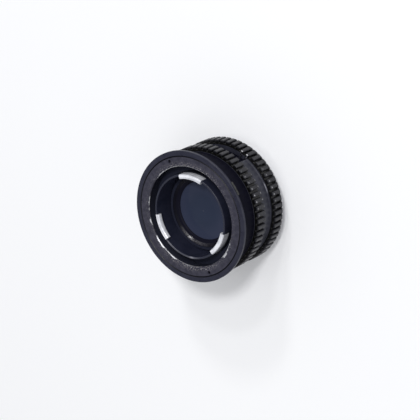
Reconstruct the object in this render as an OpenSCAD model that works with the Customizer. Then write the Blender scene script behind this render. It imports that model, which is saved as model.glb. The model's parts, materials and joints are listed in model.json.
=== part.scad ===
// Bayonet teleconverter for an interchangeable-lens camera.
// The optical axis is Z. The lens side, with the claws, faces up, and the part
// stands on the rim of its camera-side bayonet tube, at Z = 0.
// Depths are measured down from the lens-side face; at(d) turns one into a height.
// The claw sleeve sets the width: every other radius steps out or in from it.

/* [Claw sleeve] */
// Outer diameter of the claw sleeve
sleeve_d = 40; // [37:0.5:44]
// Wall of the claw sleeve
sleeve_wall = 0.93; // [0.8:0.01:1.1]
// Depth of the channel round the sleeve
channel_depth = 6.4; // [5.6:0.1:7]
// Angle that each claw spans
claw_span = 37; // [20:1:50]
// Angles at the middle of the claws
claw_angles = [76, 195, 317];
// Reach of a claw's nose past the sleeve wall
claw_reach = 1.25; // [0.6:0.05:1.6]
// Height of a claw's nose
claw_nose_h = 2.4; // [1.8:0.1:3]
// Height of the noses above the flange face
claw_proud = 0.3; // [0:0.05:0.6]
// Thickness of a claw's tongue
tongue_t = 0.45; // [0.35:0.01:0.5]
// Angle through which the lock ring turns
lock_travel = 55; // [30:1:60]

/* [Front flange] */
// Width of the open channel, from the sleeve to the face plate
channel_w = 3.7; // [3.4:0.1:4.4]
// Width of the face plate
plate_w = 4.65; // [4:0.05:5.5]
// Thickness of the face plate
plate_t = 0.9; // [0.6:0.1:1.2]
// Width of the flange's rim round the face plate
rim_w = 2.65; // [2:0.05:4]
// Thickness of the flange at its rim
flange_t = 1.2; // [0.8:0.1:1.8]
// Drop of the coned back of the flange, from the rim to the neck
flange_cone_h = 1.4; // [1:0.1:2]
// Diameter of the two spanner holes in the face plate
spanner_hole_d = 1.5; // [0.8:0.1:2]
// Depth of the spanner holes
spanner_hole_h = 2; // [1.2:0.1:2.2]
// Angle of the first spanner hole
spanner_a = 102.2; // [0:0.1:180]

/* [Barrel] */
// Height of the neck, from the flange's rim to the washer
neck_h = 10.6; // [9.4:0.1:14]
// Wall of the neck
neck_wall = 1.6; // [1.3:0.1:2.2]
// Wall of the threaded hub inside the neck
hub_wall = 1.8; // [1.4:0.1:2.2]
// Width from the sleeve to the bore that guides it
guide_w = 3; // [2.8:0.1:3.2]
// Wall of the barrel under the two rings
journal_wall = 2.6; // [2.2:0.1:3]
// Thickness of the web that carries the lens cell
web_t = 3.5; // [2.5:0.1:4.5]

/* [Rings] */
// Wall of the metal rings under the grip bands
ring_wall = 2.1; // [2:0.1:3]
// Thickness of the grip bands, from their seat to the rib tops
band_t = 2.2; // [2:0.1:2.8]
// Height of the lock ring's ribbed band
lock_band_h = 5.6; // [4.8:0.1:7]
// Height of the smooth skirt between the two bands
skirt_h = 7.6; // [6:0.1:12]
// Wall of the skirt
skirt_wall = 1.8; // [1.4:0.1:2]
// Height of the rear ribbed band
rear_band_h = 5.8; // [5.2:0.1:8]
// Number of ribs on each band
rib_count = 60; // [40:1:72]
// Depth of the grooves between the ribs
groove_depth = 1.5; // [0.5:0.05:1.6]
// Width of a groove under the bevels of its edges
groove_w = 1.25; // [0.6:0.05:1.4]
// Bevel along both edges of a rib
rib_bevel = 0.3; // [0.1:0.05:0.35]
// Rounding of the rib ends
rib_round = 0.4; // [0.2:0.05:0.7]
// Angle of the first rib
rib_a = 0.76; // [0:0.01:6]

/* [Camera mount] */
// Width of the mount's flange past the barrel
mount_lip = 3.2; // [2.4:0.1:4]
// Thickness of the camera mount's flange
mount_t = 1.6; // [1.4:0.1:2.5]
// Width of the ledge inside the bayonet tube
ledge_w = 1.4; // [1:0.1:2]
// Wall of the bayonet tube
tube_wall = 1.6; // [1.2:0.1:1.8]
// Height of the bayonet tube
tube_h = 5; // [4.4:0.1:6.5]
// Reach of the three bayonet lugs past the tube
lug_reach = 1.5; // [0.8:0.1:1.6]
// Height of the lugs
lug_h = 1.6; // [1.2:0.1:2]
// Angle that each lug spans
lug_span = 58; // [30:1:62]
// Width and height of the window in the baffle
window_size = [26, 19];

/* [Optics] */
// Gap between the claw sleeve and the lens cell
cell_gap = 0.37; // [0.3:0.01:0.6]
// Wall of the lens cell, down to the elements
cell_wall = 3.3; // [3:0.1:4]
// Depth of the lens cell's front edge
cell_depth = 9.7; // [9.2:0.1:10.6]
// Width of the lip that holds the elements
lens_lip = 1.5; // [1:0.1:2.5]
// Wall of the cell round the front retaining ring
retainer_inset = 1.6; // [1.2:0.1:1.8]

/* [Small fittings] */
// Thread diameter of the small screws
screw_d = 1.7; // [1.4:0.1:1.9]
// Diameter of the stop pins
stop_pin_d = 1; // [0.8:0.1:1.2]
// Angle that the alignment index spans
index_span = 12; // [6:1:20]
// Angle at the middle of the alignment index
index_a = 24.5; // [0:0.5:60]

/* [Hidden] */
$fn = 96;
rod_fn = 32;         // facets of the small holes, pins and screws
lens_fn = 400;       // facets of the lens faces

// Clearances
fit_gap = 0.02;      // between pieces that are screwed or pressed together
run_gap = 0.05;      // between pieces that turn in each other
side_gap = 0.3;      // round the claws and the lens cell
over = 1;            // overrun of a cut past the surface it opens

// Radii from the sleeve inwards
sleeve_r = sleeve_d / 2;
sleeve_bore_r = sleeve_r - sleeve_wall;
cell_r = sleeve_bore_r - cell_gap;
retainer_r = cell_r - retainer_inset;
lens_r = cell_r - cell_wall;
clear_r = lens_r - lens_lip;

// Radii from the sleeve outwards
guide_r = sleeve_r + guide_w;
plate_bore_r = sleeve_r + channel_w;
plate_r = plate_bore_r + plate_w;
flange_r = plate_r + rim_w;
undercut = 0.5;
channel_r = plate_bore_r + undercut;
hub_r = channel_r + hub_wall;
neck_r = hub_r + neck_wall;
journal_r = guide_r + journal_wall;
ring_bore_r = journal_r + run_gap;
band_seat_r = journal_r + ring_wall;
band_r = band_seat_r + band_t;
skirt_r = journal_r + skirt_wall;
mount_r = journal_r + mount_lip;

// Radii of the camera side
ledge_r = cell_r + side_gap;
tube_bore_r = ledge_r + ledge_w;
tube_r = tube_bore_r + tube_wall;
rear_bore_r = tube_bore_r + 0.6;

// Depths of the outside
neck_top = flange_t + flange_cone_h;
ring_top = flange_t + neck_h;
washer_t = 0.25;
washer_inset = 0.5;
lock_top = ring_top + washer_t + run_gap;
lock_bottom = lock_top + lock_band_h;
rear_top = lock_bottom + skirt_h + 2 * run_gap;
mount_top = rear_top + rear_band_h;
mount_bottom = mount_top + mount_t;
tube_bottom = mount_bottom + tube_h;

// Grooves of the bands: floor's half width and shallow end's depth, as shares of a groove
groove_floor = 0.35;
notch_share = 0.3;
groove_end_h = 0.8;

// Bevels
face_edge = 0.3;
flange_edge = 0.12;
bore_edge = 0.35;
rim_edge = 0.2;
skirt_edge = 0.2;
lip_h = 0.9;
lip_w = 0.25;
mount_edge = 0.25;
lug_edge = 0.4;

// Inside of the front end
hub_h = 3.4;
hub_bottom = neck_top + hub_h;
retainer_t = 1;
channel_bottom = channel_depth + retainer_t;
claw_base_t = 0.85;
claw_base_w = 0.5;
claw_base_top = channel_bottom + run_gap;
sleeve_flange_top = claw_base_top + claw_base_t;
sleeve_flange_bottom = sleeve_flange_top + 1.25;
sleeve_waist = 0.6;
spanner_shift = 0.7;
index_inset = 0.5;
index_sink = 0.4;
index_proud = 0.7;
index_reach = 0.2;

// Drive screws between the lock ring and the sleeve
drive_d = 2;
drive_head_d = 3;
drive_head_h = 0.9;
drive_tip = 0.8;
drive_end = 0.5;
drive_depth = lock_top + lock_band_h / 2;
drive_slot_h = drive_d + 2 * side_gap;
sleeve_bottom = drive_depth + drive_d / 2 + 0.8;
sleeve_foot_h = drive_d + 1.6;
web_top = sleeve_bottom + run_gap;
web_bottom = web_top + web_t;

// Small screws of the claws and the rear ring
claw_screw_d = 1;
claw_screw_h = 1;
claw_screw_r = (sleeve_r + guide_r) / 2;
set_screw_seat = 0.6;
set_screw_angles = [30, 150, 270];
set_screw_depth = rear_top + rear_band_h / 2;

// Stop pins and the window they stand in
stop_clear_a = 0.2;
stop_pin_seat = 1.2;
stop_pin_reach = 1.75;
stop_half_a = asin(stop_pin_d / 2 / journal_r) + stop_clear_a;
window_start_a = 47.5;
window_floor = 0.6;
stop_pin_a = window_start_a + stop_half_a;
far_pin_a = stop_pin_a + 6;
window_a = far_pin_a + stop_half_a + lock_travel - window_start_a;
stop_pin_depth = rear_top - stop_pin_d / 2 - run_gap;

// Optical stack: edge thickness and the sag of each face
retainer_seat_h = 1.5;
retainer_bottom = cell_depth + retainer_seat_h;
front_lens_t = 2.2;
front_spacer_t = 2.5;
second_lens_t = 4.4;
middle_spacer_t = 2;
third_lens_t = 1.6;
rear_lens_t = 4.7;
front_sag = 0.8;
front_back_sag = -1;
second_sag = -1.5;
third_sag = 1.2;
cement_sag = 2.4;
rear_sag = -0.8;
front_spacer_top = retainer_bottom + front_lens_t;
second_lens_top = front_spacer_top + front_spacer_t;
middle_spacer_top = second_lens_top + second_lens_t;
third_lens_top = middle_spacer_top + middle_spacer_t;
rear_lens_top = third_lens_top + third_lens_t;
cell_lip_top = rear_lens_top + rear_lens_t;
cell_bottom = cell_lip_top + 1.6;
cell_lip_w = 0.4;
spacer_wall = 1.2;

// Front retaining ring, outside in: bevel, crown, step, cone and lip
crown_h = 0.5;
crown_bevel = 0.3;
crown_w = 0.4;
step_w = 0.7;
step_h = 0.8;
cone_w = 0.7;
cone_top = 0.6;
retainer_lip_h = 0.3;

// Rear of the camera mount
baffle_t = 0.6;
baffle_ring_t = 1.2;
baffle_ring_w = 1.6;
baffle_ring_top_w = 0.8;
head_r = screw_d * 0.95;
head_h = screw_d / 2;
mount_screw_r = tube_r + head_r + 0.3;
mount_screw_len = 5;
mount_screw_angles = [for (k = [0:2], s = [-17, 17]) k * 120 + 60 + s];
lug_lift = 0.3;
lug_root = 0.2;
lock_hole_d = 2;
lock_hole_inset = 2.4;
lock_hole_a = 120;

function at(d) = tube_bottom - d;

// Radius of the sphere whose cap over an element stands or sinks by a sag
function sag_radius(sag) = (lens_r * lens_r + sag * sag) / (2 * abs(sag));

// Height of a cap over the element's edge plane, at radius r
function rise(sag, r) = sag * (1 - r * r / (lens_r * lens_r));

// Depth of the flange's coned back, at radius r
function cone_depth(r) = flange_t + (flange_r - r) * flange_cone_h / (flange_r - neck_r);

// A ring between two radii and two depths
module ring(r_in, r_out, top, bottom) {
    translate([0, 0, at(bottom)])
        difference() {
            cylinder(r = r_out, h = bottom - top);
            translate([0, 0, -over])
                cylinder(r = r_in, h = bottom - top + 2 * over);
        }
}

// A revolved outline, whose points are [radius, depth], from angle a over angle span
module turned(outline, a = 0, span = 360) {
    rotate([0, 0, a])
        rotate_extrude(angle = span)
            polygon([for (p = outline) [p[0], at(p[1])]]);
}

// A piece of a ring, from angle a over angle span
module ring_sector(r_in, r_out, top, bottom, a, span) {
    turned([[r_in, top], [r_out, top], [r_out, bottom], [r_in, bottom]], a, span);
}

// A rod along a radius, at angle a and depth d
module radial_rod(r_from, r_to, rod_r, a, d) {
    rotate([0, 0, a])
        translate([r_from, 0, at(d)])
            rotate([0, 90, 0])
                cylinder(r = rod_r, h = r_to - r_from, $fn = rod_fn);
}

// A rod along the axis, at radius r and angle a, between two depths
module axial_rod(rod_r, r, a, top, bottom) {
    rotate([0, 0, a])
        translate([r, 0, at(bottom)])
            cylinder(r = rod_r, h = bottom - top, $fn = rod_fn);
}

// The rim that stops the lens, with the hub that screws into the barrel
module front_flange() {
    seat_r = plate_r + fit_gap;
    color([0.13, 0.14, 0.18])
        difference() {
            turned([
                [seat_r + face_edge, 0], [flange_r - flange_edge, 0], [flange_r, flange_edge],
                [flange_r, flange_t], [neck_r, neck_top], [hub_r - fit_gap, neck_top],
                [hub_r - fit_gap, hub_bottom - rim_edge], [hub_r - rim_edge, hub_bottom],
                [channel_r, hub_bottom], [channel_r, plate_t + fit_gap],
                [seat_r, plate_t + fit_gap], [seat_r, face_edge]]);
            index_shape(index_inset, over, over, 0);
            spanner_holes();
        }
}

// The scuffed plate screwed into the flange, with two spanner holes
module face_plate() {
    color([0.24, 0.23, 0.26])
        difference() {
            turned([
                [plate_bore_r + bore_edge, 0], [plate_r - face_edge, 0], [plate_r, face_edge],
                [plate_r, plate_t], [plate_bore_r, plate_t], [plate_bore_r, bore_edge]]);
            spanner_holes();
        }
}

// Holes for a pin spanner, through the plate into the flange
module spanner_holes() {
    hole_r = (plate_r + plate_bore_r) / 2 + spanner_shift;
    for (a = [spanner_a, spanner_a + 180])
        axial_rod(spanner_hole_d / 2, hole_r, a, -over, spanner_hole_h);
}

// Slanted block behind the flange, which the lens's mark is lined up with
module index_shape(inset, reach, proud, gap) {
    r_in = plate_r + inset + gap;
    r_out = flange_r + reach;
    top = flange_t - index_sink + gap;
    turned([
        [r_in, top], [r_out, top], [r_out, cone_depth(r_out) + proud],
        [r_in, cone_depth(r_in) + proud]],
        index_a - index_span / 2 + gap, index_span - 2 * gap);
}

module index_block() {
    color([0.45, 0.45, 0.38])
        index_shape(index_inset, index_reach, index_proud, fit_gap);
}

// The one-piece body: neck, guide bore, journal for the rings, web for the cell
module main_barrel() {
    pin_hole_r = stop_pin_d / 2 + fit_gap;
    screw_hole_r = screw_d / 2 + fit_gap;
    color([0.07, 0.07, 0.09])
        difference() {
            turned([
                [hub_r, neck_top], [neck_r, neck_top], [neck_r, ring_top], [journal_r, ring_top],
                [journal_r, mount_top], [rear_bore_r, mount_top], [rear_bore_r, web_bottom],
                [cell_r + fit_gap, web_bottom], [cell_r + fit_gap, web_top],
                [guide_r, web_top], [guide_r, channel_bottom], [channel_r, channel_bottom],
                [channel_r, hub_bottom + fit_gap], [hub_r, hub_bottom + fit_gap]]);
            for (a = claw_angles)
                drive_slot(a);
            for (a = [stop_pin_a, far_pin_a])
                radial_rod(journal_r - stop_pin_seat, journal_r + over, pin_hole_r, a,
                    stop_pin_depth);
            for (a = mount_screw_angles)
                axial_rod(screw_hole_r, mount_screw_r, a, mount_bottom - mount_screw_len - side_gap,
                    mount_top + over);
            for (a = set_screw_angles)
                radial_rod(journal_r - set_screw_seat, journal_r + over, screw_hole_r, a,
                    set_screw_depth);
        }
}

// Slot in the barrel through which a drive screw reaches the sleeve
module drive_slot(a) {
    end_a = asin((drive_d / 2 + side_gap) / guide_r);
    ring_sector(guide_r - over, journal_r + over, drive_depth - drive_slot_h / 2,
        drive_depth + drive_slot_h / 2, a - lock_travel - end_a, lock_travel + 2 * end_a);
}

// Threaded ring at the bottom of the channel, which keeps the sleeve in
module sleeve_retainer() {
    color([0.05, 0.05, 0.06])
        ring(sleeve_r + side_gap, channel_r - fit_gap, channel_depth, channel_bottom - fit_gap);
}

// Thin washer between the neck's shoulder and the lock ring
module friction_washer() {
    color([0.3, 0.28, 0.24])
        ring(journal_r + fit_gap, neck_r - washer_inset, ring_top, ring_top + washer_t);
}

// Two pins in the barrel that stop the lock ring at its ends
module stop_pins() {
    color([0.85, 0.85, 0.88])
        for (a = [stop_pin_a, far_pin_a])
            radial_rod(journal_r - stop_pin_seat + fit_gap, band_seat_r + stop_pin_reach,
                stop_pin_d / 2, a, stop_pin_depth);
}

// A ribbed band: a round-ended ring with grooves all round it, shallow below groove_bottom
module ribbed_band(top, bottom, groove_bottom) {
    difference() {
        rotate_extrude()
            translate([band_seat_r + fit_gap, at(bottom)])
                rounded_section(band_t - fit_gap, bottom - top, rib_round);
        for (k = [0:rib_count - 1])
            rotate([0, 0, rib_a + (k + 0.5) * 360 / rib_count]) {
                groove(top - over, groove_bottom);
                if (groove_bottom < bottom)
                    notch(groove_bottom - over, bottom + over);
            }
    }
}

// Room of one deep groove with bevelled edges, on the X side of the band
module groove(top, bottom) {
    floor_y = groove_w * groove_floor;
    mouth_y = groove_w / 2 + rib_bevel;
    bevel_x = band_r - rib_bevel;
    end_x = band_r + over;
    translate([0, 0, at(bottom)])
        linear_extrude(bottom - top)
            polygon([
                [band_r - groove_depth, -floor_y], [bevel_x, -groove_w / 2], [band_r, -mouth_y],
                [end_x, -mouth_y], [end_x, mouth_y], [band_r, mouth_y],
                [bevel_x, groove_w / 2], [band_r - groove_depth, floor_y]]);
}

// Room of one shallow groove, a little narrower than the deep one
module notch(top, bottom) {
    mouth_y = groove_w / 2;
    end_x = band_r + over;
    floor_x = band_r - groove_depth * notch_share;
    translate([0, 0, at(bottom)])
        linear_extrude(bottom - top)
            polygon([
                [floor_x, -groove_w / 4], [band_r, -mouth_y], [end_x, -mouth_y],
                [end_x, mouth_y], [band_r, mouth_y], [floor_x, groove_w / 4]]);
}

// Half-section of a band, with its two outer corners rounded
module rounded_section(w, h, r) {
    square([w - r, h]);
    translate([0, r])
        square([w, h - 2 * r]);
    for (y = [r, h - r])
        translate([w - r, y])
            circle(r, $fn = 48);
}

module rear_grip() {
    color([0.2, 0.2, 0.19])
        ribbed_band(rear_top, mount_top, mount_top - groove_end_h);
}

module lock_grip() {
    color([0.2, 0.2, 0.19])
        ribbed_band(lock_top, lock_bottom, lock_bottom + over);
}

// Fixed ring that carries the rear band
module rear_ring() {
    color([0.13, 0.14, 0.18])
        difference() {
            ring(journal_r + fit_gap, band_seat_r, rear_top, mount_top);
            for (a = set_screw_angles)
                radial_rod(journal_r - over, band_seat_r + over, screw_d / 2 + fit_gap, a,
                    set_screw_depth);
        }
}

// Grub screws that hold the rear ring on the barrel
module ring_set_screws() {
    color([0.35, 0.35, 0.37])
        for (a = set_screw_angles)
            radial_rod(journal_r - set_screw_seat + fit_gap, band_seat_r - fit_gap, screw_d / 2,
                a, set_screw_depth);
}

// Turning ring with the skirt, whose window runs between the stop pins
module lock_ring() {
    skirt_bottom = lock_bottom + skirt_h;
    lip_top = skirt_bottom - lip_h;
    lip_r = skirt_r + lip_w;
    color([0.15, 0.16, 0.21])
        difference() {
            turned([
                [ring_bore_r, lock_top], [band_seat_r, lock_top], [band_seat_r, lock_bottom],
                [skirt_r, lock_bottom], [skirt_r, lip_top], [lip_r, lip_top + lip_w],
                [lip_r, skirt_bottom - skirt_edge], [lip_r - skirt_edge, skirt_bottom],
                [ring_bore_r, skirt_bottom]]);
            ring_sector(journal_r - over, lip_r + over, lock_bottom + window_floor,
                rear_top + over, window_start_a, window_a);
            for (a = claw_angles) {
                radial_rod(journal_r - over, band_seat_r + over, drive_d / 2 + fit_gap, a,
                    drive_depth);
                radial_rod(band_seat_r - drive_head_h, band_seat_r + over,
                    drive_head_d / 2 + fit_gap, a, drive_depth);
            }
        }
}

// Screws from the lock ring through the barrel's slots into the sleeve
module drive_screws() {
    color([0.35, 0.35, 0.37])
        for (a = claw_angles) {
            radial_rod(sleeve_r + drive_tip, band_seat_r - drive_end, drive_d / 2, a, drive_depth);
            radial_rod(band_seat_r - drive_head_h + fit_gap, band_seat_r - fit_gap,
                drive_head_d / 2, a, drive_depth);
        }
}

// Black sleeve that turns in the barrel and carries the claws
module claw_sleeve() {
    foot_r = guide_r - run_gap;
    waist_r = sleeve_r + sleeve_waist;
    foot_top = sleeve_bottom - sleeve_foot_h;
    color([0.04, 0.04, 0.05])
        difference() {
            turned([
                [sleeve_bore_r + rim_edge, 0], [sleeve_r - rim_edge, 0], [sleeve_r, rim_edge],
                [sleeve_r, sleeve_flange_top], [foot_r, sleeve_flange_top],
                [foot_r, sleeve_flange_bottom], [waist_r, sleeve_flange_bottom],
                [waist_r, foot_top], [foot_r, foot_top], [foot_r, sleeve_bottom],
                [sleeve_bore_r, sleeve_bottom], [sleeve_bore_r, rim_edge]]);
            for (a = claw_angles) {
                claw_pocket(a);
                radial_rod(waist_r, guide_r + over, drive_d / 2 + fit_gap, a, drive_depth);
                axial_rod(claw_screw_d / 2 + fit_gap, claw_screw_r, a + 60,
                    sleeve_flange_top - over, sleeve_flange_top + claw_screw_h);
            }
        }
}

// Room in the sleeve for one claw: a lowered rim and a relief for the tongue
module claw_pocket(a) {
    gap_a = 0.1;
    start_a = a - claw_span / 2 - gap_a;
    pocket_a = claw_span + 2 * gap_a;
    ring_sector(sleeve_bore_r - over, sleeve_r + over, -over, claw_nose_h - claw_proud + fit_gap,
        start_a, pocket_a);
    ring_sector(sleeve_r - tongue_t - fit_gap, sleeve_r + over, -over, sleeve_flange_top,
        start_a, pocket_a);
}

// Bright ring whose three tongues hook over the sleeve's rim as claws
module claw_ring() {
    base_bottom = sleeve_flange_top - fit_gap;
    nose_w = claw_reach + sleeve_wall;
    nose_round = min(0.7, claw_nose_h / 2.5, nose_w / 2.5);
    color([0.88, 0.88, 0.92])
        difference() {
            union() {
                ring(sleeve_r + fit_gap, guide_r - run_gap, claw_base_top, base_bottom);
                for (a = claw_angles) {
                    ring_sector(sleeve_r - tongue_t, sleeve_r, claw_nose_h / 2 - claw_proud,
                        base_bottom, a - claw_span / 2, claw_span);
                    ring_sector(sleeve_r - tongue_t, sleeve_r + claw_base_w, claw_base_top,
                        base_bottom, a - claw_span / 2, claw_span);
                    rotate([0, 0, a - claw_span / 2])
                        rotate_extrude(angle = claw_span)
                            translate([sleeve_r - nose_w, at(claw_nose_h - claw_proud)])
                                nose_section(nose_w, claw_nose_h, nose_round);
                }
            }
            for (a = claw_angles)
                axial_rod(claw_screw_d / 2 + fit_gap, claw_screw_r, a + 60,
                    claw_base_top - over, sleeve_flange_top + over);
        }
}

// Section of a claw's nose, rounded at its top and under its inner edge
module nose_section(w, h, r) {
    translate([r, 0])
        square([w - r, h - r]);
    translate([0, r])
        square([w, h - 2 * r]);
    translate([r, h - r])
        square([w - 2 * r, r]);
    translate([r, r])
        circle(r, $fn = 48);
    for (x = [r, w - r])
        translate([x, h - r])
            circle(r, $fn = 48);
}

// Three tiny screws that hold the claw ring on the sleeve
module claw_screws() {
    color([0.35, 0.35, 0.37])
        for (a = claw_angles)
            axial_rod(claw_screw_d / 2, claw_screw_r, a + 60, claw_base_top + fit_gap,
                sleeve_flange_top + claw_screw_h - fit_gap);
}

// Bright camera-side bayonet: flange, tube and three lugs
module camera_mount() {
    color([0.82, 0.82, 0.84])
        difference() {
            union() {
                turned([
                    [ledge_r, mount_top], [mount_r, mount_top],
                    [mount_r, mount_bottom - mount_edge], [mount_r - mount_edge, mount_bottom],
                    [tube_r, mount_bottom], [tube_r, tube_bottom - rim_edge],
                    [tube_r - rim_edge, tube_bottom], [tube_bore_r + rim_edge, tube_bottom],
                    [tube_bore_r, tube_bottom - rim_edge], [tube_bore_r, mount_bottom],
                    [ledge_r, mount_bottom]]);
                for (a = [0, 120, 240])
                    mount_lug(a);
            }
            for (a = mount_screw_angles) {
                axial_rod(screw_d / 2 + fit_gap, mount_screw_r, a, mount_top - over,
                    mount_bottom + over);
                axial_rod(head_r + fit_gap, mount_screw_r, a, mount_bottom - head_h,
                    mount_bottom + over);
            }
            axial_rod(lock_hole_d / 2, mount_r - lock_hole_inset, lock_hole_a,
                mount_bottom - mount_t * 0.6, mount_bottom + over);
        }
}

// Bayonet lug, bevelled where it enters the camera
module mount_lug(a) {
    bottom = tube_bottom - lug_lift;
    top = bottom - lug_h;
    tip_r = tube_r + lug_reach;
    turned([
        [tube_r - lug_root, top], [tip_r, top], [tip_r, bottom - lug_edge],
        [tip_r - lug_edge, bottom], [tube_r - lug_root, bottom]],
        a - lug_span / 2, lug_span);
}

// Flat-headed screws that hold the camera mount on the barrel
module mount_screws() {
    color([0.6, 0.6, 0.62])
        for (a = mount_screw_angles) {
            axial_rod(head_r, mount_screw_r, a, mount_bottom - head_h + fit_gap, mount_bottom);
            axial_rod(screw_d / 2, mount_screw_r, a, mount_bottom - mount_screw_len, mount_bottom);
        }
}

// Black plate with the picture-shaped window behind the last element
module rear_baffle() {
    color([0.03, 0.03, 0.03])
        difference() {
            ring(0, tube_bore_r - fit_gap, mount_bottom, mount_bottom + baffle_t);
            translate([0, 0, at(mount_bottom + baffle_t / 2)])
                cube([window_size[0], window_size[1], baffle_t + 2 * over], center = true);
        }
}

// Ring that holds the baffle in the bayonet tube
module baffle_ring() {
    top = mount_bottom + baffle_t + fit_gap;
    bottom = mount_bottom + baffle_t + baffle_ring_t;
    color([0.06, 0.06, 0.06])
        turned([
            [tube_bore_r - baffle_ring_w, top], [tube_bore_r - fit_gap, top],
            [tube_bore_r - fit_gap, bottom], [tube_bore_r - baffle_ring_top_w, bottom]]);
}

// Tube that holds the four elements, screwed into the barrel's web
module lens_cell() {
    lip_r = clear_r - cell_lip_w;
    color([0.05, 0.05, 0.06])
        turned([
            [retainer_r + fit_gap, cell_depth], [cell_r - rim_edge, cell_depth],
            [cell_r, cell_depth + rim_edge], [cell_r, cell_bottom], [lip_r, cell_bottom],
            [lip_r, cell_lip_top], [lens_r + fit_gap, cell_lip_top],
            [lens_r + fit_gap, retainer_bottom], [retainer_r + fit_gap, retainer_bottom]]);
}

// Glossy threaded ring that holds the front element in the cell
module front_retainer() {
    crown_top = cell_depth - crown_h;
    crown_r = retainer_r - crown_bevel;
    step_r = crown_r - crown_w - step_w;
    under = retainer_bottom - fit_gap;
    lip_bottom = under - rise(front_sag, clear_r);
    color([0.1, 0.1, 0.1])
        turned([
            [crown_r - crown_w, crown_top], [crown_r, crown_top], [retainer_r, cell_depth],
            [retainer_r, under], [lens_r, under], [clear_r, lip_bottom],
            [clear_r, lip_bottom - retainer_lip_h], [clear_r + cone_w, cell_depth + cone_top],
            [step_r, crown_top + step_h]]);
}

// A round element. A positive sag stands proud of the edge, a negative one is hollow
module element(top, edge_t, front, back) {
    bottom = top + edge_t;
    difference() {
        intersection() {
            translate([0, 0, at(bottom + max(back, 0))])
                cylinder(r = lens_r, h = edge_t + max(back, 0) + max(front, 0));
            if (front > 0)
                translate([0, 0, at(top) + front - sag_radius(front)])
                    sphere(sag_radius(front), $fn = lens_fn);
            if (back > 0)
                translate([0, 0, at(bottom) - back + sag_radius(back)])
                    sphere(sag_radius(back), $fn = lens_fn);
        }
        if (front < 0)
            translate([0, 0, at(top) + front + sag_radius(front)])
                sphere(sag_radius(front), $fn = lens_fn);
        if (back < 0)
            translate([0, 0, at(bottom) - back - sag_radius(back)])
                sphere(sag_radius(back), $fn = lens_fn);
    }
}

module front_lens() {
    color([0.17, 0.2, 0.26])
        element(retainer_bottom, front_lens_t - fit_gap, front_sag, front_back_sag);
}

module front_spacer() {
    color([0.08, 0.08, 0.08])
        ring(lens_r - spacer_wall, lens_r, front_spacer_top, second_lens_top - fit_gap);
}

module second_lens() {
    color([0.25, 0.28, 0.32])
        element(second_lens_top, second_lens_t - fit_gap, second_sag, second_sag);
}

// Its lower end slants to clear the third element's bulge
module middle_spacer() {
    inner_r = lens_r - spacer_wall;
    bottom = third_lens_top - fit_gap;
    color([0.08, 0.08, 0.08])
        turned([
            [inner_r, middle_spacer_top], [lens_r, middle_spacer_top], [lens_r, bottom],
            [inner_r, bottom - rise(third_sag, inner_r)]]);
}

module third_lens() {
    color([0.25, 0.28, 0.32])
        element(third_lens_top, third_lens_t - fit_gap, third_sag, cement_sag);
}

module rear_lens() {
    color([0.25, 0.28, 0.32])
        element(rear_lens_top, rear_lens_t - fit_gap, -cement_sag, rear_sag);
}

front_flange();
face_plate();
index_block();
main_barrel();
sleeve_retainer();
friction_washer();
stop_pins();
rear_ring();
rear_grip();
ring_set_screws();
camera_mount();
mount_screws();
rear_baffle();
baffle_ring();
lens_cell();
front_retainer();
front_lens();
front_spacer();
second_lens();
middle_spacer();
third_lens();
rear_lens();
claw_sleeve();
claw_ring();
claw_screws();
drive_screws();
lock_ring();
lock_grip();
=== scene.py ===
"""Looks of the teleconverter: camera, floor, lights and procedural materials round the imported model."""
import json
import math

import bpy
from mathutils import Matrix, Vector


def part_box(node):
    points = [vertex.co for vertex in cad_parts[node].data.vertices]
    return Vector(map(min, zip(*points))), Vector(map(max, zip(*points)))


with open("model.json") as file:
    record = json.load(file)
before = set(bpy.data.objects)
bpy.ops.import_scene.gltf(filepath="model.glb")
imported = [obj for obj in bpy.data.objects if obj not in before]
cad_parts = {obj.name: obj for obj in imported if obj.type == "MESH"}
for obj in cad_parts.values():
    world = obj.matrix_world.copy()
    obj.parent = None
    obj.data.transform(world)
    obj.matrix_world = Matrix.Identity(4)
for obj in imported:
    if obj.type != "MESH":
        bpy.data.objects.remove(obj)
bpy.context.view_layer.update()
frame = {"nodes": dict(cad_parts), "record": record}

# Driving sizes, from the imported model, in metres
FLANGE_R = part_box("front_flange")[1].x
FACE_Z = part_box("front_flange")[1].z
PLATE_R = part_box("face_plate")[1].x
CELL_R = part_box("lens_cell")[1].x
RETAINER_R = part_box("front_retainer")[1].x
CHANNEL_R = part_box("sleeve_retainer")[1].x
BAND_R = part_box("lock_grip")[1].x

# A millimetre, and the width of the face plate, which its box doesn't give
MM = 0.001
PLATE_WIDTH = 4.65 * MM

# Camera, fitted to the flange circle and the rear band of the photograph
VIEW_AZIMUTH = math.radians(18.69)
VIEW_ELEVATION = math.radians(48.13)
VIEW_ROLL = math.radians(-114.43)
VIEW_DISTANCE = 21.859 * FLANGE_R
VIEW_RIGHT = 0.3023 * FLANGE_R
VIEW_UP = 0.1046 * FLANGE_R
FOCAL_PIXELS = 1500
FRAME_PIXELS = 420
SENSOR_MM = 36

# Light: the world's share on an upward surface, and how far off the lamps stand
WORLD_LIGHT = 0.45
LAMP_DISTANCE = 2.5


def direction(azimuth, elevation):
    """Unit vector at that azimuth and elevation, in radians."""
    flat = math.cos(elevation)
    return Vector((flat * math.cos(azimuth), flat * math.sin(azimuth), math.sin(elevation)))


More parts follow.
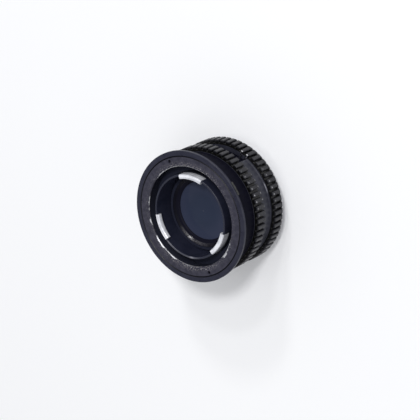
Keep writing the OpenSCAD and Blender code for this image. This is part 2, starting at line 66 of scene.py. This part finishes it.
def make_camera():
    """The camera at the photograph's angle and distance."""
    toward = direction(VIEW_AZIMUTH, VIEW_ELEVATION)
    level = Vector((-math.sin(VIEW_AZIMUTH), math.cos(VIEW_AZIMUTH), 0))
    right = Matrix.Rotation(VIEW_ROLL, 3, toward) @ level
    up = toward.cross(right)
    data = bpy.data.cameras.new("camera")
    data.sensor_width = SENSOR_MM
    data.sensor_fit = "HORIZONTAL"
    data.lens = SENSOR_MM * FOCAL_PIXELS / FRAME_PIXELS
    data.clip_start = 0.05
    data.clip_end = 20
    camera = bpy.data.objects.new("camera", data)
    bpy.context.scene.collection.objects.link(camera)
    place = Vector((0, 0, FACE_Z)) + toward * VIEW_DISTANCE + right * VIEW_RIGHT + up * VIEW_UP
    turn = Matrix((right, up, toward)).transposed().to_4x4()
    camera.matrix_world = Matrix.Translation(place) @ turn
    bpy.context.scene.camera = camera


def feed(tree, socket, value):
    """Links value to the socket if it comes from a node, or else sets it."""
    if isinstance(value, bpy.types.NodeSocket):
        tree.links.new(value, socket)
    elif isinstance(value, tuple) and len(value) == 3 and socket.type == "RGBA":
        socket.default_value = (*value, 1)
    else:
        socket.default_value = value


def math_node(tree, operation, *values):
    """The output of a Math node on values, each a number or a node's output."""
    node = tree.nodes.new("ShaderNodeMath")
    node.operation = operation
    for socket, value in zip(node.inputs, values):
        feed(tree, socket, value)
    return node.outputs[0]


class Finish:
    """One material: a Principled shader, and the nodes that feed it, in the row frame's metres."""

    def __init__(self, name, rough, metallic=0.0, specular=0.5):
        self.mat = bpy.data.materials.new(name)
        self.mat.use_nodes = True
        self.tree = self.mat.node_tree
        self.shader = self.tree.nodes["Principled BSDF"]
        self.shader.inputs["Roughness"].default_value = rough
        self.shader.inputs["Metallic"].default_value = metallic
        self.shader.inputs["Specular IOR Level"].default_value = specular
        self.place = self.tree.nodes.new("ShaderNodeTexCoord").outputs["Object"]
        self.polar = None

    def feed(self, socket, value):
        feed(self.tree, socket, value)

    def set(self, **inputs):
        """Feeds the shader's inputs, whose names have _ for a space."""
        for name, value in inputs.items():
            self.feed(self.shader.inputs[name.replace("_", " ")], value)

    def math(self, operation, *values):
        return math_node(self.tree, operation, *values)

    def noise(self, size, detail=3.0, place=None):
        """Fractal noise, 0 to 1, whose patches are about size metres across."""
        node = self.tree.nodes.new("ShaderNodeTexNoise")
        self.feed(node.inputs["Vector"], place or self.place)
        node.inputs["Scale"].default_value = 1 / size
        node.inputs["Detail"].default_value = detail
        return node.outputs["Fac"]

    def spots(self, size):
        """Distance to the nearest of scattered points, which are about size metres apart."""
        node = self.tree.nodes.new("ShaderNodeTexVoronoi")
        self.feed(node.inputs["Vector"], self.place)
        node.inputs["Scale"].default_value = 1 / size
        return node.outputs["Distance"]

    def steps(self, value, low, high, start=0.0, end=1.0):
        """Runs smoothly from start at low to end at high."""
        node = self.tree.nodes.new("ShaderNodeMapRange")
        node.interpolation_type = "SMOOTHSTEP"
        self.feed(node.inputs["Value"], value)
        node.inputs["From Min"].default_value = low
        node.inputs["From Max"].default_value = high
        node.inputs["To Min"].default_value = start
        node.inputs["To Max"].default_value = end
        return node.outputs[0]

    def mix(self, factor, a, b):
        """Colour a where factor is 0, and b where it is 1."""
        node = self.tree.nodes.new("ShaderNodeMix")
        node.data_type = "RGBA"
        self.feed(node.inputs["Factor"], factor)
        self.feed(node.inputs[6], a)
        self.feed(node.inputs[7], b)
        return node.outputs[2]

    def around(self):
        """(radius, turn from 0 to 1 round the axis, height) of the shaded point."""
        if self.polar is None:
            split = self.tree.nodes.new("ShaderNodeSeparateXYZ")
            self.feed(split.inputs[0], self.place)
            x, y, z = split.outputs
            radius = self.math("SQRT", self.math("ADD", self.math("MULTIPLY", x, x),
                                                 self.math("MULTIPLY", y, y)))
            angle = self.math("DIVIDE", self.math("ARCTAN2", y, x), 2 * math.pi)
            self.polar = (radius, self.math("FRACT", self.math("ADD", angle, 1.0)), z)
        return self.polar

    def level_by_angle(self, levels):
        """A value that runs through (degrees, level) pairs round the axis."""
        node = self.tree.nodes.new("ShaderNodeValToRGB")
        self.feed(node.inputs["Fac"], self.around()[1])
        ramp = node.color_ramp
        for _ in range(len(levels) - 2):
            ramp.elements.new(0.5)
        for element, (degrees, level) in zip(ramp.elements, sorted(levels)):
            element.position = degrees / 360
            element.color = (level, level, level, 1)
        return node.outputs["Color"]

    def bump(self, height, depth, strength=1.0, edge=0.0):
        """Raises the surface by up to depth metres, over edges rounded by edge metres."""
        node = self.tree.nodes.new("ShaderNodeBump")
        if edge > 0:
            rounding = self.tree.nodes.new("ShaderNodeBevel")
            rounding.samples = 6
            rounding.inputs["Radius"].default_value = edge
            self.feed(node.inputs["Normal"], rounding.outputs[0])
        node.inputs["Strength"].default_value = strength
        node.inputs["Distance"].default_value = depth
        self.feed(node.inputs["Height"], height)
        self.feed(self.shader.inputs["Normal"], node.outputs[0])

    def turned_lines(self, pitch):
        """Fine lines that a lathe leaves, 0 to 1, each with about 12 changes in a turn."""
        radius, turn, height = self.around()
        join = self.tree.nodes.new("ShaderNodeCombineXYZ")
        self.feed(join.inputs[0], radius)
        self.feed(join.inputs[1], self.math("MULTIPLY", turn, pitch * 12))
        self.feed(join.inputs[2], height)
        return self.noise(pitch, 2.0, join.outputs[0])


# Where the lock ring's rear lip and the claw sleeve's rim get a painted glint, light grey in their
# colour: (degrees, share)
LIP_GLINT = [(8, 0.0), (11, 0.6), (17, 1.0), (20, 0.0)]
RIM_GLINT = [
    (214, 0.0), (218, 0.4), (230, 0.2), (245, 0.12), (256, 0.2), (261, 0.8), (265, 0.25), (276, 0.0)]


def painted_edge_glint(f, low, high, levels):
    """1 on the stretch of an edge between two heights that gets a painted glint, and 0 elsewhere."""
    height = f.around()[2]
    above = f.steps(height, low, low + 0.15 * MM)
    below = f.steps(height, high - 0.2 * MM, high, 1.0, 0.0)
    return f.math("MULTIPLY", f.math("MULTIPLY", above, below), f.level_by_angle(levels))


def anodised(name, dark, light, rough, specular, edge):
    """Blue-black anodised metal with faint lathe lines, soft marks and a painted glint along one stretch
    of edge.
    """
    f = Finish(name, rough, 0.0, specular)
    cloud = f.noise(5 * MM, 4.0)
    colour = f.mix(f.steps(cloud, 0.35, 0.65), dark, light)
    # Painted highlight: light grey along the glint's stretch of edge
    f.set(Base_Color=f.mix(painted_edge_glint(f, *edge), colour, (0.28, 0.28, 0.32)))
    lines = f.turned_lines(0.12 * MM)
    f.set(Roughness=f.math("ADD", f.math("MULTIPLY", lines, 0.12), rough - 0.06))
    f.bump(lines, 0.004 * MM, 0.6, 0.2 * MM)
    return f.mat


def flange_finish():
    """Anodised rim: dusty flat face, worn light along its outer edge, painted shade in the groove by the
    plate, and painted light inside the channel.
    """
    f = Finish("flange_anodised", 0.34, 0.0, 0.2)
    radius, _, height = f.around()
    cloud = f.noise(3 * MM, 5.0)
    colour = f.mix(f.steps(cloud, 0.35, 0.65), (0.008, 0.009, 0.023), (0.015, 0.016, 0.031))
    specks = f.steps(f.spots(1.1 * MM), 0.10, 0.04)
    colour = f.mix(f.math("MULTIPLY", specks, 0.35), colour, (0.10, 0.10, 0.11))
    edge = f.steps(radius, FLANGE_R - 0.3 * MM, FLANGE_R - 0.1 * MM)
    front = f.steps(height, FACE_Z - 0.7 * MM, FACE_Z - 0.2 * MM)
    wear = f.math("MULTIPLY", f.math("MULTIPLY", edge, front), f.steps(cloud, 0.2, 0.6, 0.5, 1.0))
    colour = f.mix(f.math("MULTIPLY", wear, 0.1), colour, (0.12, 0.12, 0.13))
    # Painted shade: near black in the groove between rim and plate
    groove = f.steps(radius, PLATE_R + 0.45 * MM, PLATE_R + 0.25 * MM)
    colour = f.mix(groove, colour, (0.0, 0.0, 0.003))
    # Painted light: a lighter black inside the channel, offsetting its shade
    inside = f.steps(radius, CHANNEL_R + 0.6 * MM, CHANNEL_R + 0.2 * MM)
    f.set(Base_Color=f.mix(inside, colour, (0.022, 0.024, 0.038)))
    f.set(Roughness=f.steps(cloud, 0.3, 0.7, 0.26, 0.42))
    f.bump(f.turned_lines(0.15 * MM), 0.004 * MM, 0.6)
    return f.mat


# Where the face plate is rubbed bare at its inner edge: (degrees, reach as a share of CHIP_REACH)
CHIP_REACH = 1.3 * MM
CHIPS = [
    (55, 0.0), (58, 0.28), (97, 0.34), (124, 0.34), (132, 0.0), (155, 0.0), (157, 0.3),
    (160, 0.08), (164, 0.3), (167, 0.0), (169, 0.0), (171, 0.2), (173, 0.0), (181, 0.0),
    (183, 0.45), (187, 0.4), (190, 0.0), (202, 0.0), (205, 0.6), (216, 0.6), (219, 0.12),
    (229, 0.12), (232, 0.38), (236, 0.32), (240, 0.06), (256, 0.14), (280, 0.0), (307, 0.0),
    (310, 0.9), (327, 0.85), (330, 0.25), (338, 0.0)]


# How scuffed the plate is beside its bore: (degrees, share)
SCUFFS = [
    (0, 0.2), (25, 0.3), (50, 1.0), (110, 0.9), (125, 0.3), (150, 0.2), (215, 0.3), (240, 1.0),
    (288, 1.0), (300, 0.3), (360, 0.2)]


def plate_finish():
    """Warm grey plate, dusty all over, with scuffs and bare metal chips along its bore, and painted shade
    in the groove at its outer edge.
    """
    f = Finish("plate_grey", 0.42, 0.0, 0.22)
    radius, _, height = f.around()
    cloud = f.noise(2.2 * MM, 6.0)
    fine = f.noise(0.35 * MM, 4.0)
    colour = f.mix(f.steps(cloud, 0.3, 0.7), (0.014, 0.014, 0.027), (0.032, 0.031, 0.049))
    dust = f.math("MULTIPLY", f.steps(fine, 0.56, 0.72), 0.4)
    colour = f.mix(dust, colour, (0.11, 0.105, 0.12))
    from_bore = f.math("SUBTRACT", radius, PLATE_R - PLATE_WIDTH)
    wear_and_sheen = f.math("MULTIPLY", f.level_by_angle(SCUFFS),
                    f.steps(from_bore, 0.3 * MM, 3.2 * MM, 1.0, 0.0))
    scratches = f.steps(f.noise(0.6 * MM, 5.0), 0.53, 0.60)
    colour = f.mix(f.math("MULTIPLY", scratches, wear_and_sheen), colour, (0.19, 0.18, 0.185))
    nicks = f.math("MULTIPLY", f.steps(f.spots(1.7 * MM), 0.17, 0.11), wear_and_sheen)
    colour = f.mix(nicks, colour, (0.34, 0.34, 0.36))
    share = f.level_by_angle(CHIPS)
    ragged = f.steps(f.noise(1.5 * MM, 6.0), 0.42, 0.60, 0.4, 1.0)
    reach = f.math("MULTIPLY", share, f.math("MULTIPLY", ragged, CHIP_REACH))
    bare = f.steps(f.math("SUBTRACT", reach, from_bore), 0.0, 0.06 * MM)
    bare = f.math("MULTIPLY", bare, f.steps(height, FACE_Z - 0.7 * MM, FACE_Z - 0.45 * MM))
    # Painted shade: near black in the groove at the plate's outer edge
    colour = f.mix(f.steps(radius, PLATE_R - 0.42 * MM, PLATE_R - 0.2 * MM), colour, (0.0, 0.0, 0.003))
    f.set(Base_Color=f.mix(bare, colour, (0.44, 0.445, 0.47)))
    f.set(Metallic=f.math("MULTIPLY", bare, 0.5))
    f.set(Roughness=f.steps(fine, 0.3, 0.7, 0.34, 0.5))
    f.bump(f.math("SUBTRACT", fine, bare), 0.02 * MM, 0.7)
    return f.mat


# Ribs: their number, the degrees to the first one's painted glints, and how bright the painted glints
# are: (degrees, share)
RIB_COUNT = 60
RIB_TURN = 0.4
RIB_GLINTS = [
    (0, 0.35), (6, 0.9), (12, 1.0), (18, 0.6), (26, 0.4), (40, 0.0), (345, 0.0), (360, 0.35)]


def painted_rib_glints(f):
    """1 on small painted glints at the middle of the rib ends, and 0 elsewhere."""
    radius, turn, height = f.around()
    shift = RIB_TURN / 360 * RIB_COUNT - 0.5
    phase = f.math("FRACT", f.math("SUBTRACT", f.math("MULTIPLY", turn, RIB_COUNT), shift))
    along = f.math("MULTIPLY", f.math("SUBTRACT", phase, 0.5), 2 * math.pi * BAND_R / RIB_COUNT)
    front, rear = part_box("lock_grip"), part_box("rear_grip")
    places = [
        (front[1].z - 0.7 * MM, 1.0), (front[0].z + 0.3 * MM, 0.9), (rear[1].z - 0.85 * MM, 0.9)]
    share = 0.0
    for place, level in places:
        up = f.math("SUBTRACT", height, place)
        apart = f.math("SQRT", f.math("ADD", f.math("MULTIPLY", along, along),
                                      f.math("MULTIPLY", up, up)))
        share = f.math("MAXIMUM", share, f.steps(apart, 0.18 * MM, 0.5 * MM, level, 0.0))
    outside = f.steps(radius, BAND_R - 0.8 * MM, BAND_R - 0.6 * MM)
    return f.math("MULTIPLY", f.math("MULTIPLY", share, outside), f.level_by_angle(RIB_GLINTS))


def grip_finish():
    """Satin moulded ribs, greyer where fingers rub their tops, with painted shade on the groove floors
    and painted glints at some rib ends.
    """
    f = Finish("grip_black", 0.36, 0.0, 0.28)
    radius = f.around()[0]
    cloud = f.noise(4 * MM, 4.0)
    fine = f.noise(0.25 * MM, 3.0)
    colour = f.mix(f.steps(cloud, 0.3, 0.7), (0.006, 0.006, 0.010), (0.013, 0.013, 0.017))
    wear_and_sheen = f.steps(radius, BAND_R - 0.5 * MM, BAND_R - 0.05 * MM, 0.0, 0.5)
    colour = f.mix(f.math("MULTIPLY", wear_and_sheen, f.steps(fine, 0.4, 0.7)), colour, (0.038, 0.038, 0.042))
    # Painted shade: near black on the groove floors between the ribs
    sunk = f.steps(radius, BAND_R - 1.15 * MM, BAND_R - 0.55 * MM)
    colour = f.mix(sunk, (0.002, 0.002, 0.002), colour)
    # Painted highlight: light grey glints at the rib ends
    f.set(Base_Color=f.mix(painted_rib_glints(f), colour, (0.36, 0.36, 0.38)))
    f.set(Roughness=f.steps(fine, 0.3, 0.7, 0.26, 0.40))
    f.bump(fine, 0.012 * MM, 0.6, 0.3 * MM)
    return f.mat


def matt_black(name, colour, inner, rough, specular):
    """Matt black paint with a fine grain, and another, lighter black inside the channel: painted light
    that offsets the channel's shade.
    """
    f = Finish(name, rough, 0.0, specular)
    grain = f.noise(0.4 * MM, 4.0)
    dust = f.steps(f.noise(2.5 * MM, 4.0), 0.4, 0.75, 0.0, 0.5)
    lighter = tuple(c * 2 + 0.002 for c in colour)
    painted = f.mix(f.math("MULTIPLY", dust, grain), colour, lighter)
    # Painted light: the inner, lighter black inside the channel where shade falls
    inside = f.steps(f.around()[0], CHANNEL_R + 0.6 * MM, CHANNEL_R + 0.2 * MM)
    f.set(Base_Color=f.mix(inside, painted, inner))
    f.set(Roughness=f.steps(grain, 0.3, 0.7, rough - 0.08, rough + 0.08))
    f.bump(grain, 0.008 * MM, 0.5)
    return f.mat


# How far down the claws stay bright before the painted shade below their noses begins: (degrees, share of
# the depth below)
CLAW_SHADE_DEPTH = 3.3 * MM
CLAW_SHADE_START = [(0, 1.0), (140, 1.0), (165, 0.42), (225, 0.42), (250, 1.0), (360, 1.0)]


def claw_finish():
    """Bright claws, with painted shade below their noses, rubbed and softly smeared."""
    f = Finish("claw_chrome", 0.3, 0.15, 0.5)
    smear = f.math("MULTIPLY", f.noise(2.5 * MM, 3.0), 0.4)
    streaks = f.math("MULTIPLY", f.turned_lines(0.4 * MM), 0.6)
    polish = f.steps(f.math("ADD", smear, streaks), 0.38, 0.62)
    bright = f.mix(polish, (0.52, 0.53, 0.58), (0.84, 0.85, 0.90))
    depth = f.math("SUBTRACT", FACE_Z, f.around()[2])
    shade_from = f.math("MULTIPLY", f.level_by_angle(CLAW_SHADE_START), CLAW_SHADE_DEPTH)
    below = f.steps(f.math("SUBTRACT", depth, shade_from), 0.0, 0.8 * MM)
    # Painted shade: near black below the noses
    f.set(Base_Color=f.mix(below, bright, (0.012, 0.013, 0.022)))
    turned = f.turned_lines(0.2 * MM)
    f.set(Roughness=f.math("ADD", f.math("MULTIPLY", turned, 0.16), 0.22))
    f.bump(turned, 0.003 * MM, 0.7, 0.3 * MM)
    return f.mat


def bright_metal(name, colour, rough):
    """Bright turned metal: fine lines round the axis, and faint smears."""
    f = Finish(name, rough, 1.0, 0.5)
    smear = f.noise(2.5 * MM, 4.0)
    darker = tuple(c * 0.93 for c in colour)
    f.set(Base_Color=f.mix(f.steps(smear, 0.3, 0.7), darker, colour))
    turned = f.turned_lines(0.1 * MM)
    f.set(Roughness=f.math("ADD", f.math("MULTIPLY", turned, 0.16), rough - 0.08))
    f.bump(turned, 0.003 * MM, 0.7)
    return f.mat


# Where the retainer's crown gets a painted highlight, lighter grey and coated: (degrees, share)
RETAINER_SHEEN = [
    (0, 0.2), (120, 0.25), (150, 0.0), (205, 0.0), (222, 0.9), (245, 1.0), (262, 0.8),
    (275, 0.2), (290, 0.0), (345, 0.0), (360, 0.2)]


def retainer_finish():
    """Black ring: its crown, round a matt cone, has a painted highlight on one side, lighter grey and
    coated.
    """
    f = Finish("retainer_gloss", 0.5, 0.0, 0.06)
    radius = f.around()[0]
    crown = f.steps(radius, RETAINER_R - 1.7 * MM, RETAINER_R - 1.4 * MM)
    colour = f.mix(crown, (0.004, 0.004, 0.010), (0.004, 0.004, 0.008))
    patches = f.steps(f.noise(0.6 * MM, 4.0), 0.3, 0.6)
    wear_and_sheen = f.math("MULTIPLY", f.level_by_angle(RETAINER_SHEEN), patches)
    wear_and_sheen = f.math("MULTIPLY", crown, wear_and_sheen)
    # Painted highlight: lighter grey on one side of the crown
    f.set(Base_Color=f.mix(wear_and_sheen, colour, (0.050, 0.048, 0.058)))
    f.set(Coat_Weight=wear_and_sheen)
    f.set(Coat_Roughness=0.2)
    f.bump(f.turned_lines(0.2 * MM), 0.004 * MM, 0.5, 0.25 * MM)
    return f.mat


def coated_glass(name, edge, middle):
    """Dark coated element: a tint that runs from middle to edge, a few dust specks and a small lighter
    spot on the axis.
    """
    f = Finish(name, 0.09, 0.0, 0.04)
    radius = f.around()[0]
    # In lens_coated the edge is lighter: painted light offsetting the shade at the element's rim
    tint = f.mix(f.steps(radius, 0.3 * CELL_R, 0.72 * CELL_R), middle, edge)
    speck = f.steps(f.spots(4 * MM), 0.035, 0.02)
    centre = f.steps(radius, 0.5 * MM, 0.2 * MM)
    mark = f.math("MAXIMUM", f.math("MULTIPLY", speck, 0.12), f.math("MULTIPLY", centre, 0.2))
    f.set(Base_Color=f.mix(mark, tint, (0.12, 0.13, 0.15)))
    f.set(Roughness=f.steps(f.noise(6 * MM, 3.0), 0.3, 0.7, 0.06, 0.14))
    return f.mat


def index_finish():
    """Pale enamel, chipped through to dark metal."""
    f = Finish("index_enamel", 0.45, 0.0, 0.35)
    chips = f.steps(f.noise(0.7 * MM, 5.0), 0.52, 0.60)
    f.set(Base_Color=f.mix(chips, (0.026, 0.027, 0.024), (0.010, 0.010, 0.011)))
    f.bump(f.math("SUBTRACT", 1.0, chips), 0.03 * MM)
    return f.mat


def make_finishes():
    """Each record slot's material."""
    lip_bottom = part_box("lock_ring")[0].z
    rim_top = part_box("claw_sleeve")[1].z
    # Stretches of the lock ring's lip and the sleeve's rim that get a painted glint
    lip = (lip_bottom + 0.1 * MM, lip_bottom + 0.85 * MM, LIP_GLINT)
    rim = (rim_top - 0.25 * MM, rim_top + 0.3 * MM, RIM_GLINT)
    return {
        "flange_anodised": flange_finish(),
        "plate_grey": plate_finish(),
        "index_enamel": index_finish(),
        # The second colour of each matt black is painted light inside the channel
        "barrel_black": matt_black(
            "barrel_black", (0.0035, 0.0035, 0.008), (0.018, 0.020, 0.034), 0.5, 0.03),
        "ring_anodised": anodised(
            "ring_anodised", (0.020, 0.021, 0.032), (0.030, 0.031, 0.045), 0.34, 0.25, lip),
        "grip_black": grip_finish(),
        "sleeve_black": anodised(
            "sleeve_black", (0.013, 0.015, 0.029), (0.018, 0.020, 0.036), 0.3, 0.2, rim),
        "claw_chrome": claw_finish(),
        "mount_chrome": bright_metal("mount_chrome", (0.66, 0.66, 0.68), 0.28),
        "steel_bright": bright_metal("steel_bright", (0.75, 0.75, 0.77), 0.2),
        "steel_dark": bright_metal("steel_dark", (0.12, 0.12, 0.13), 0.35),
        "brass": bright_metal("brass", (0.42, 0.31, 0.12), 0.35),
        "baffle_black": matt_black(
            "baffle_black", (0.002, 0.002, 0.002), (0.003, 0.003, 0.004), 0.8, 0.1),
        "retainer_gloss": retainer_finish(),
        # Painted light: the lighter first colour, at the edge
        "lens_coated": coated_glass("lens_coated", (0.036, 0.043, 0.076), (0.025, 0.033, 0.060)),
        "lens_inner": coated_glass("lens_inner", (0.010, 0.022, 0.020), (0.018, 0.030, 0.034)),
    }


def dress_nodes():
    """Gives every CAD node the material of its slot."""
    finishes = make_finishes()
    for part in frame["record"]["subparts"]:
        mesh = frame["nodes"][part["node"]].data
        mesh.materials.clear()
        mesh.materials.append(finishes[part["material_slot"]])


def make_floor():
    """A pale floor under the part, level with its base rim."""
    half = 3
    corners = [(-half, -half, 0), (half, -half, 0), (half, half, 0), (-half, half, 0)]
    mesh = bpy.data.meshes.new("floor")
    mesh.from_pydata(corners, [], [(0, 1, 2, 3)])
    floor = bpy.data.objects.new("floor", mesh)
    bpy.context.scene.collection.objects.link(floor)
    f = Finish("floor_pale", 0.8, 0.0, 0.1)
    f.set(Base_Color=f.mix(f.noise(0.4, 2.0), (0.955, 0.962, 0.980), (0.965, 0.972, 0.990)))
    mesh.materials.append(f.mat)


def make_world():
    """White to the camera and in gloss, and softer as a light."""
    world = bpy.data.worlds.new("studio")
    bpy.context.scene.world = world
    world.use_nodes = True
    tree = world.node_tree
    background = tree.nodes["Background"]
    background.inputs["Color"].default_value = (0.98, 0.985, 1, 1)
    path = tree.nodes.new("ShaderNodeLightPath")
    shown = math_node(tree, "MAXIMUM", path.outputs["Is Camera Ray"],
                      path.outputs["Is Transmission Ray"])
    shown = math_node(tree, "MAXIMUM", shown, path.outputs["Is Glossy Ray"])
    strength = math_node(tree, "MAXIMUM", shown, WORLD_LIGHT)
    tree.links.new(strength, background.inputs["Strength"])


def area_light(name, azimuth, elevation, size, share):
    """A lamp that gives an upward surface this share of full light."""
    way = direction(math.radians(azimuth), math.radians(elevation))
    data = bpy.data.lights.new(name, "AREA")
    data.size = size
    data.energy = share * (math.pi * LAMP_DISTANCE) ** 2 / way.z
    lamp = bpy.data.objects.new(name, data)
    bpy.context.scene.collection.objects.link(lamp)
    lamp.location = way * LAMP_DISTANCE + Vector((0, 0, FACE_Z / 2))
    lamp.rotation_euler = way.to_track_quat("Z", "Y").to_euler()


make_camera()
make_floor()
make_world()
area_light("top", 20, 76, 2.0, 0.20)
area_light("key", 40, 50, 0.3, 0.29)
area_light("second", 64, 42, 0.2, 0.06)
area_light("side", 76, 31, 0.26, 0.07)
dress_nodes()

scene = bpy.context.scene
scene.view_settings.view_transform = "Standard"
